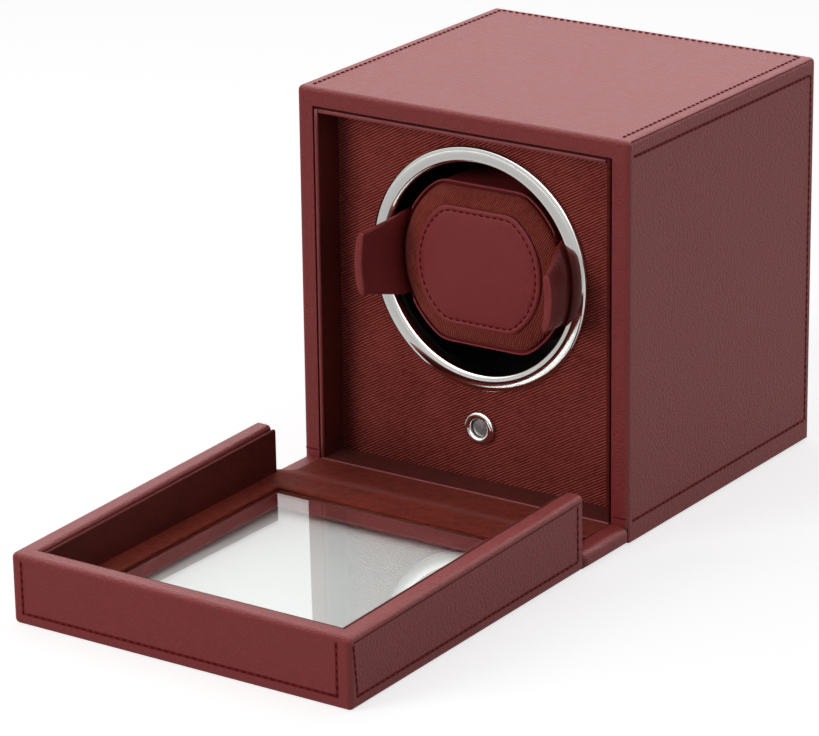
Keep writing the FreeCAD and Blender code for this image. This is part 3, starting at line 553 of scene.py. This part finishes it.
def make_stage():
    """A pale floor that fades to white, with the shadow kept."""
    bpy.ops.mesh.primitive_plane_add(size=12, location=(0, 0, 0))
    floor = bpy.context.object
    floor.name = "floor"
    s = Shader("floor_white")
    grain = s.noise(3.0, 2.0)
    s.finish(base_color=s.ramp(grain, (0.3, (0.86, 0.86, 0.86)), (0.7, (0.88, 0.88, 0.88))), roughness=0.9,
             specular_ior_level=0.0)
    path = s.node("ShaderNodeLightPath")
    strength = s.math("MULTIPLY", path.outputs["Is Camera Ray"], FLOOR_GLOW)
    sideways = s.math("MULTIPLY_ADD", s.axis("X"), TOWARD_BACK[0],
                      s.math("MULTIPLY", s.axis("Y"), TOWARD_BACK[1]))
    mirrored = s.math("SUBTRACT", path.outputs["Is Glossy Ray"], path.outputs["Is Transmission Ray"])
    mirrored.node.use_clamp = True
    sheen = s.grey(sideways, FLOOR_SHEEN * FLOOR_SHEEN_SHARE, FLOOR_SHEEN, -0.3, 0.2)
    strength = s.math("MULTIPLY_ADD", mirrored, sheen, strength)
    glow = s.node("ShaderNodeEmission")
    glow.inputs["Color"].default_value = (1, 1, 1, 1)
    s.link(strength, glow.inputs["Strength"])
    both = s.node("ShaderNodeAddShader")
    s.link(s.surface.outputs[0], both.inputs[0])
    s.link(glow.outputs[0], both.inputs[1])
    s.link(both.outputs[0], s.output.inputs["Surface"])
    floor.data.materials.append(s.material)


def make_world():
    """White for the camera, a graded backdrop for mirrors, and a low even level that lights the object."""
    world = bpy.data.worlds.new("studio")
    world.use_nodes = True
    bpy.context.scene.world = world
    tree = world.node_tree

    def combine(operation, a, b, c=0.0):
        made = tree.nodes.new("ShaderNodeMath")
        made.operation = operation
        for socket, value in zip(made.inputs, (a, b, c)):
            if isinstance(value, bpy.types.NodeSocket):
                tree.links.new(value, socket)
            else:
                socket.default_value = value
        return made.outputs[0]

    path = tree.nodes.new("ShaderNodeLightPath")
    direction = tree.nodes.new("ShaderNodeTexCoord").outputs["Generated"]
    split = tree.nodes.new("ShaderNodeSeparateXYZ")
    tree.links.new(direction, split.inputs[0])
    behind = tree.nodes.new("ShaderNodeMapRange")
    toward = combine("MULTIPLY_ADD", split.outputs["X"], TOWARD_BACK[0],
                     combine("MULTIPLY", split.outputs["Y"], TOWARD_BACK[1]))
    tree.links.new(toward, behind.inputs["Value"])
    for key, number in (("From Min", -0.6), ("From Max", 0.5),
                        ("To Min", BACKDROP_LOW), ("To Max", BACKDROP_HIGH)):
        behind.inputs[key].default_value = number
    high = tree.nodes.new("ShaderNodeMapRange")
    tree.links.new(split.outputs["Z"], high.inputs["Value"])
    for key, number in (("From Min", 0.3), ("From Max", 0.6), ("To Min", 1.0), ("To Max", BACKDROP_RISE)):
        high.inputs[key].default_value = number
    through = path.outputs["Is Transmission Ray"]
    mirrored = combine("SUBTRACT", path.outputs["Is Glossy Ray"], through)
    mirrored.node.use_clamp = True
    shine = combine("MULTIPLY", behind.outputs[0], high.outputs[0])
    seen = combine("MAXIMUM", path.outputs["Is Camera Ray"], through)
    seen = combine("MULTIPLY_ADD", mirrored, shine, seen)
    ambient = combine("MULTIPLY_ADD", through, THROUGH_GLASS, WORLD_LEVEL)
    scattered = combine("MINIMUM", path.outputs["Diffuse Depth"], 1.0)
    level = combine("MULTIPLY_ADD", combine("SUBTRACT", ambient, seen), scattered, seen)
    background = tree.nodes["Background"]
    background.inputs["Color"].default_value = (1, 1, 1, 1)
    tree.links.new(level, background.inputs["Strength"])


def make_lamp(name, place, aim, size, power):
    data = bpy.data.lights.new(name, "AREA")
    data.shape = "RECTANGLE"
    data.size, data.size_y = size
    data.energy = power
    lamp = bpy.data.objects.new(name, data)
    lamp.location = place
    lamp.visible_glossy = False
    lamp.rotation_euler = (Vector(aim) - Vector(place)).to_track_quat("-Z", "Y").to_euler()
    bpy.context.scene.collection.objects.link(lamp)


def make_lights():
    make_lamp("overhead", (-0.15, 0.25, 0.95), (0, 0, 0.05), (1.2, 1.0), 1.5)
    make_lamp("front_left", (-0.9, -1.7, 0.55), (0, 0, 0.08), (1.0, 0.9), 14.5)
    make_lamp("right_fill", (1.7, -0.4, 0.7), (0, 0, 0.06), (1.0, 1.2), 0.8)


def flat_circle(radius, half, count=160, passes=5):
    """A circle cut flat above and below, its corners softened: (x, z) points in mm about the drum axis."""
    points = []
    for number in range(count):
        angle = 2 * math.pi * (number + 0.5) / count
        reach = min(radius, half / max(abs(math.sin(angle)), 0.001))
        points.append(Vector((reach * math.cos(angle), reach * math.sin(angle))))
    for _ in range(passes):
        points = [(before + 2 * point + after) / 4
                  for before, point, after in zip(points[-1:] + points[:-1], points, points[1:] + points[:1])]
    return points


def dish(name, rings, centre=None, back=None, shape=None):
    """Join rings of (radius, half height, y) in mm, closed at the front and back by centre points."""
    points, faces = [], []
    count = 0
    for radius, half, y in rings:
        ring = flat_circle(radius, half)
        count = len(ring)
        for x, z in ring:
            place = Vector((x, y, z))
            if shape:
                place += shape(place)
            points.append(Vector((place.x * MM, place.y * MM, DRUM_Z + place.z * MM)))
    for row in range(len(rings) - 1):
        for number in range(count):
            a, b = row * count + number, row * count + (number + 1) % count
            faces.append((a, a + count, b + count, b))
    if centre is not None:
        points.append(Vector((0, centre * MM, DRUM_Z)))
        first = (len(rings) - 1) * count
        faces += [(first + number, len(points) - 1, first + (number + 1) % count) for number in range(count)]
    if back is not None:
        points.append(Vector((0, back * MM, DRUM_Z)))
        faces += [((number + 1) % count, len(points) - 1, number) for number in range(count)]
    return mesh_from(name, points, faces)


# Sections of the cuff from front to back or from rim to middle: (radius, half height, y) in mm
PAD_RINGS = [
    (27.3, 22.8, -40.5), (27.9, 23.4, -40.9), (28.0, 23.5, -41.4), (27.7, 23.2, -41.85),
    (27.2, 22.7, -42.15), (26.7, 22.2, -42.2), (26.2, 21.75, -42.05), (25.8, 21.4, -41.75),
    (25.4, 21.0, -42.0), (24.8, 20.4, -42.2), (23.4, 19.2, -42.3), (20.5, 16.8, -42.42),
    (16.5, 13.5, -42.52), (12.0, 9.8, -42.6), (7.5, 6.1, -42.64), (3.5, 2.8, -42.66)]
FACE_RINGS = [
    (26.8, 22.3, -40.75), (28.0, 23.5, -40.98), (29.4, 24.8, -40.72), (31.3, 26.5, -40.12),
    (33.2, 28.2, -39.35), (34.4, 29.3, -38.75), (35.0, 29.9, -38.2), (35.25, 30.15, -37.6),
    (35.2, 30.1, -36.9), (34.8, 29.7, -36.45), (33.5, 28.5, -36.3)]
CORE_RINGS = [
    (34.0, 29.0, -36.25), (35.5, 30.5, -36.4), (36.0, 31.0, -36.7), (36.1, 31.1, -37.5),
    (36.2, 31.2, -38.0), (36.45, 31.45, -38.25), (36.75, 31.75, -38.15), (36.95, 31.95, -37.8),
    (36.95, 31.95, -37.2), (36.75, 31.75, -36.6), (36.4, 31.4, -36.1), (36.25, 31.25, -35.4),
    (36.2, 31.2, -34.6), (36.2, 31.2, -26.0), (36.2, 31.2, -16.0), (36.2, 31.2, -7.0),
    (36.1, 31.1, -2.6), (35.3, 30.3, -0.6), (33.8, 28.8, 0.2), (31.0, 26.0, 0.35)]
PAD_STITCH_RADIUS = 25.8
PAD_STITCH_HALF = 21.4
PAD_STITCH_Y = -41.86
PUCKER_START = 29.0
PUCKER_DEPTH = 0.22
CORE_RADIUS = 35.95
LIP_FLAT_HIGH = 18.4
LIP_FLAT_FADE = 1.2


def clamped(value):
    return max(0.0, min(1.0, value))


def puckers(place):
    """The twill's rim is drawn in by its seam, in shallow waves."""
    angle = math.atan2(place.z, place.x)
    edge = clamped((math.hypot(place.x, place.z) - PUCKER_START) / 5.0)
    wave = noise.noise(Vector((math.cos(angle) * 9, math.sin(angle) * 9, 1.7)))
    return Vector((0, -PUCKER_DEPTH * edge * wave, 0))


def pressed_by_wings(place):
    """The core's lip and sides lie lower under the wings, which leaves room for their squeeze."""
    radius = math.hypot(place.x, place.z)
    hidden = clamped((LIP_FLAT_HIGH - abs(place.z)) / LIP_FLAT_FADE)
    inward = max(0.0, radius - CORE_RADIUS) * hidden / radius if radius else 0.0
    return Vector((-place.x * inward, 0, -place.z * inward))


def add_padded(name, mesh, body, material, node):
    """A padded soft piece that stands in for a CAD node."""
    piece = add_piece(name, mesh, body, material)
    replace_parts(piece, node)


def make_cuff(looks):
    soft = looks["cuff_leather"]
    pad = dish("cuff_pad_cover", PAD_RINGS, centre=-42.66, back=-40.5)
    add_padded("cuff_pad_cover", pad, "cuff", soft, "cuff_pad")
    face = dish("cuff_face_cloth", FACE_RINGS, centre=-36.3, back=-40.75, shape=puckers)
    add_padded("cuff_face_cloth", face, "cuff", looks["face_cloth"], "cuff_face")
    core = dish("cuff_core_cover", CORE_RINGS, centre=0.35, back=-36.25, shape=pressed_by_wings)
    add_padded("cuff_core_cover", core, "cuff", soft, "cuff_core")
    path = [Vector((x * MM, PAD_STITCH_Y * MM, DRUM_Z + z * MM))
            for x, z in flat_circle(PAD_STITCH_RADIUS, PAD_STITCH_HALF)]
    add_piece("pad_stitching", stitch_mesh("pad_stitching", [(path + path[:1], (0, -1, 0))]), "cuff",
              looks["thread"])


# Wings, in mm: y of the tip, bend and root, and sizes about the drum's axis
WING_TIP = -59.5
WING_BEND = -41.5
WING_ROOT = -8.7
WING_INNER = 37.2
WING_THICK = 3.4
WING_FLARE = 3.4
WING_TIP_HALF = 12.2
WING_TUCKED_HALF = 9.8
WING_ROOT_HALF = 16.5
WING_TIP_SOFT = 0.75
WING_ROOT_SOFT = 1.3
WING_SETTLE = 0.8
WING_STEP = 0.8
WING_AROUND = 56


def wing_mesh(name, way, folds, upper):
    """A padded leather flap: rounded sections along y, bent round the drum's axis, with folds outside."""
    half_thick = WING_THICK / 2
    soft = WING_TIP_SOFT
    stations = []
    for step in range(7):
        turn = math.radians(90 * step / 6)
        stations.append((WING_TIP + soft * (1 - math.cos(turn)), soft * (1 - math.sin(turn)) / half_thick))
    y = stations[-1][0]
    while y < WING_ROOT - 1.5:
        y += WING_STEP
        stations.append((y, 0.0))
    for step in range(1, 6):
        turn = math.radians(90 * step / 5)
        stations.append((WING_ROOT - WING_ROOT_SOFT * (1 - math.sin(turn)), 1 - math.cos(turn)))
    points, faces = [], []
    for y, shrink in stations:
        lean = max(0.0, (WING_BEND - y) / (WING_BEND - WING_TIP))
        smooth = lean * lean * (3 - 2 * lean) * 0.35 + lean * 0.65
        settle = clamped((y + 15.0) / 6.0)
        middle = WING_INNER + half_thick + WING_FLARE * smooth - WING_SETTLE * settle
        grow = clamped((y - WING_TIP - 1.5) / (WING_BEND + 3.0 - WING_TIP - 1.5))
        thick = half_thick * (1 - 0.95 * shrink)
        for number in range(WING_AROUND):
            angle = 2 * math.pi * number / WING_AROUND
            c, sn = math.cos(angle), math.sin(angle)
            across = math.copysign(abs(c) ** 0.35, c)
            out = math.copysign(abs(sn) ** 0.75, sn) * thick
            tip_half = upper if across > 0 else WING_TIP_HALF
            high = tip_half * (1 - grow) + WING_ROOT_HALF * grow - WING_ROOT_SOFT * shrink
            z = across * high
            if out > 0 and folds:
                out += fold_height(y, z, high) * min(1.0, out / thick * 1.6) * (1 - shrink)
            radius = middle + out
            x = math.sqrt(max(radius * radius - z * z, 0.0))
            points.append(Vector((way * x * MM, y * MM, DRUM_Z + z * MM)))
    rows = len(stations)
    for row in range(rows - 1):
        for number in range(WING_AROUND):
            a = row * WING_AROUND + number
            b = row * WING_AROUND + (number + 1) % WING_AROUND
            quad = (a, b, b + WING_AROUND, a + WING_AROUND)
            faces.append(quad if way > 0 else quad[::-1])
    for first, flip in ((0, way > 0), ((rows - 1) * WING_AROUND, way < 0)):
        for number in range(WING_AROUND // 2):
            strip = [number, number + 1, WING_AROUND - number - 1, (WING_AROUND - number) % WING_AROUND]
            strip = list(dict.fromkeys(first + corner for corner in strip))
            faces.append(tuple(reversed(strip)) if flip else tuple(strip))
    return mesh_from(name, points, faces)


def fold_height(y, z, high):
    """Leather bunched in upright ridges behind the flap's tip, gathered at its upper edge."""
    along = (y - WING_TIP - 3.6) / 2.5
    inside = clamped(along) * clamped((5.2 - along) / 1.5)
    waver = 0.35 * noise.noise(Vector((z * 0.12, y * 0.1, 4.0)))
    ridge = (0.5 - 0.5 * math.cos(2 * math.pi * (along + waver))) ** 0.8
    gather = 0.6 + 0.5 * max(0.0, z / high) + 0.25 * noise.noise(Vector((z * 0.35, y * 0.2, 9.0)))
    return 0.75 * inside * ridge * gather


def make_wings(looks):
    for way, body, folds, upper in ((1, "wing_right", True, WING_TUCKED_HALF),
                                    (-1, "wing_left", False, WING_TIP_HALF)):
        name = body + "_cover"
        mesh = wing_mesh(name, way, folds, upper)
        add_padded(name, mesh, body, looks["cuff_leather"], body)


# Chrome parts, in mm: radii and how far behind its front a rim's crown ends
RING_RADII = {"inner": 41.4, "outer": 47.8, "spigot": 46.3}
RING_CROWN = 1.5
RING_SEGMENTS = 224
BEZEL_RADII = {"inner": 3.7, "outer": 6.55, "spigot": 5.4}
BEZEL_CROWN = 1.6
BEZEL_SEGMENTS = 96


def lathe(name, profile, height, segments):
    """Turn (radius, y) points in mm about an axis along Y; the outline closes on itself."""
    points, faces = [], []
    for number in range(segments):
        angle = 2 * math.pi * number / segments
        points += [Vector((radius * MM * math.cos(angle), y * MM, height + radius * MM * math.sin(angle)))
                   for radius, y in profile]
    wide = len(profile)
    for number in range(segments):
        a, b = number * wide, (number + 1) % segments * wide
        for corner in range(wide):
            after = (corner + 1) % wide
            faces.append((a + corner, b + corner, b + after, a + after))
    return mesh_from(name, points, faces)


def rolled_ring(front, face, rear, crown, inner, outer, spigot):
    """Outline of a chrome ring: a bore, a crowned front and a spigot behind."""
    middle, half = (inner + outer) / 2, (outer - inner) / 2
    shoulder = front + crown
    outline = [(inner, rear), (inner, shoulder + 1.2)]
    for step in range(23):
        turn = math.pi * (1 - step / 22)
        across = math.copysign(abs(math.cos(turn)) ** 0.85, math.cos(turn))
        outline.append((middle + half * across, shoulder - (shoulder - front) * math.sin(turn) ** 0.72))
    return outline + [(outer, face - 0.06), (outer - 0.25, face), (spigot, face), (spigot, rear)]


def make_chrome(looks):
    """Smooth ring and bezel in the places of the CAD ones."""
    for node, crown, radii, segments in (("drum_ring", RING_CROWN, RING_RADII, RING_SEGMENTS),
                                         ("button_bezel", BEZEL_CROWN, BEZEL_RADII, BEZEL_SEGMENTS)):
        name = node + "_chrome"
        low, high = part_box(node)
        outline = rolled_ring(low.y / MM, PANEL_FRONT / MM, high.y / MM, crown, **radii)
        mesh = lathe(name, outline, (low.z + high.z) / 2, segments)
        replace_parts(add_piece(name, mesh, "case", looks["chrome"]), node)


def make_trims(looks):
    """Leather piping on the front edges of the recess liners, and the seams of the case."""
    rows = []
    for node, axis in (("recess_liner_left", 2), ("recess_liner_top", 0), ("recess_liner_floor", 0)):
        low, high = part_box(node)
        ends = []
        for place in (low[axis] + 0.3 * MM, high[axis] - 0.3 * MM):
            end = (low + high) / 2
            end.y = low.y
            end[axis] = place
            ends.append(end)
        rows.append((ends, (0, -1, 0)))
    add_piece("liner_piping", strip_mesh("liner_piping", rows, PIPING_WIDTH, PIPING_LIFT), "case",
              looks["trim_leather"])
    seam, outer, inner = 11.0 * MM, HALF - 0.8 * MM, HALF - WALL + 0.8 * MM
    rows = [([(way * outer, FRONT, seam), (way * inner, FRONT, seam)], (0, -1, 0)) for way in (-1, 1)]
    for way in (-1, 1):
        across, high = way * (HALF - 0.48 * MM), TOP - 0.72 * MM
        rows.append(([(across, FRONT + 2.2 * MM, high), (across, BACK - 2.2 * MM, high)], (way, 0, 0.85)))
    # Dark strips: painted shade in the seams of the case.
    add_piece("case_seams", strip_mesh("case_seams", rows, SEAM_WIDTH), "case", looks["seam"])


# The tray's cloth, in mm: rims round the window as (outwards, above the glass), and (y, z) behind the lid
WINDOW_RIMS = [(0.03, 0.04), (1.5, 0.05), (0.9, 0.4), (0.3, 0.6), (0.05, 0.8), (0.05, 1.05), (0.25, 1.3),
               (0.7, 1.45), (1.3, 1.5)]
HINGE_PROFILE = [
    (-84.0, 12.55), (-83.0, 12.42), (-82.0, 12.2), (-81.0, 11.92), (-80.0, 11.6), (-79.0, 11.25),
    (-78.0, 10.89), (-77.0, 10.52), (-76.0, 10.15), (-75.0, 9.78), (-74.0, 9.42), (-73.0, 9.08),
    (-72.0, 8.77), (-71.0, 8.5), (-70.0, 8.28), (-69.0, 8.12), (-68.0, 8.02), (-66.0, 7.94),
    (-62.0, 7.92), (-58.0, 7.92), (-54.0, 7.9), (-53.65, 7.83)]
CLOTH_STEPS = 48


def cloth_loop(half, front, rear, z):
    """Points round a level rectangle, from its front left corner to the right."""
    ends = [(-half, front), (half, front), (half, rear), (-half, rear)]
    points = []
    for (x0, y0), (x1, y1) in zip(ends, ends[1:] + ends[:1]):
        for number in range(CLOTH_STEPS):
            t = number / CLOTH_STEPS
            points.append(Vector((x0 + (x1 - x0) * t, y0 + (y1 - y0) * t, z)))
    return points


def make_tray_lining(looks):
    """One cloth over the apron, the hinge and the lid's floor, open at the glass."""
    top = LID_FLOOR + 0.1 * MM
    rims = [(out, GLASS_TOP + z * MM) for out, z in WINDOW_RIMS] + [(2.5, top + 0.05 * MM), (5.0, top)]
    points = []
    for out, z in rims:
        grow = out * MM
        points += cloth_loop(WINDOW_HALF + grow, WINDOW_FRONT - grow, WINDOW_REAR + grow, z)
    points += cloth_loop(LINING_HALF, LID_FRONT + LID_WALL + 0.2 * MM, LID_REAR, top)
    points = lid_place(points)
    around = 4 * CLOTH_STEPS
    faces = []
    for row in range(len(rims)):
        for number in range(around):
            a, b = row * around + number, row * around + (number + 1) % around
            faces.append((b, a, a + around, b + around))
    rear = [len(rims) * around + 2 * CLOTH_STEPS + number for number in range(CLOTH_STEPS + 1)]
    for y, z in HINGE_PROFILE:
        row = []
        for number in range(CLOTH_STEPS + 1):
            x = LINING_HALF * (1 - 2 * number / CLOTH_STEPS)
            sag = 0.12 * MM * noise.noise(Vector((x * 60, y * 0.12, 2.0)))
            row.append(len(points))
            points.append(Vector((x, y * MM, z * MM + sag)))
        for number in range(CLOTH_STEPS):
            faces.append((rear[number + 1], rear[number], row[number], row[number + 1]))
        rear = row
    mesh = mesh_from("tray_lining", points, faces)
    piece = add_piece("tray_lining", mesh, None, looks["tray_cloth"])
    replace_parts(piece, "apron_lining", "lid_floor_lining")
    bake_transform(piece)


bpy.context.scene.view_settings.view_transform = "Standard"
make_camera()
make_stage()
make_world()
make_lights()
looks = assign_materials()
make_case_stitches(looks)
make_lid_stitches(looks)
make_cuff(looks)
make_wings(looks)
make_chrome(looks)
make_trims(looks)
make_tray_lining(looks)
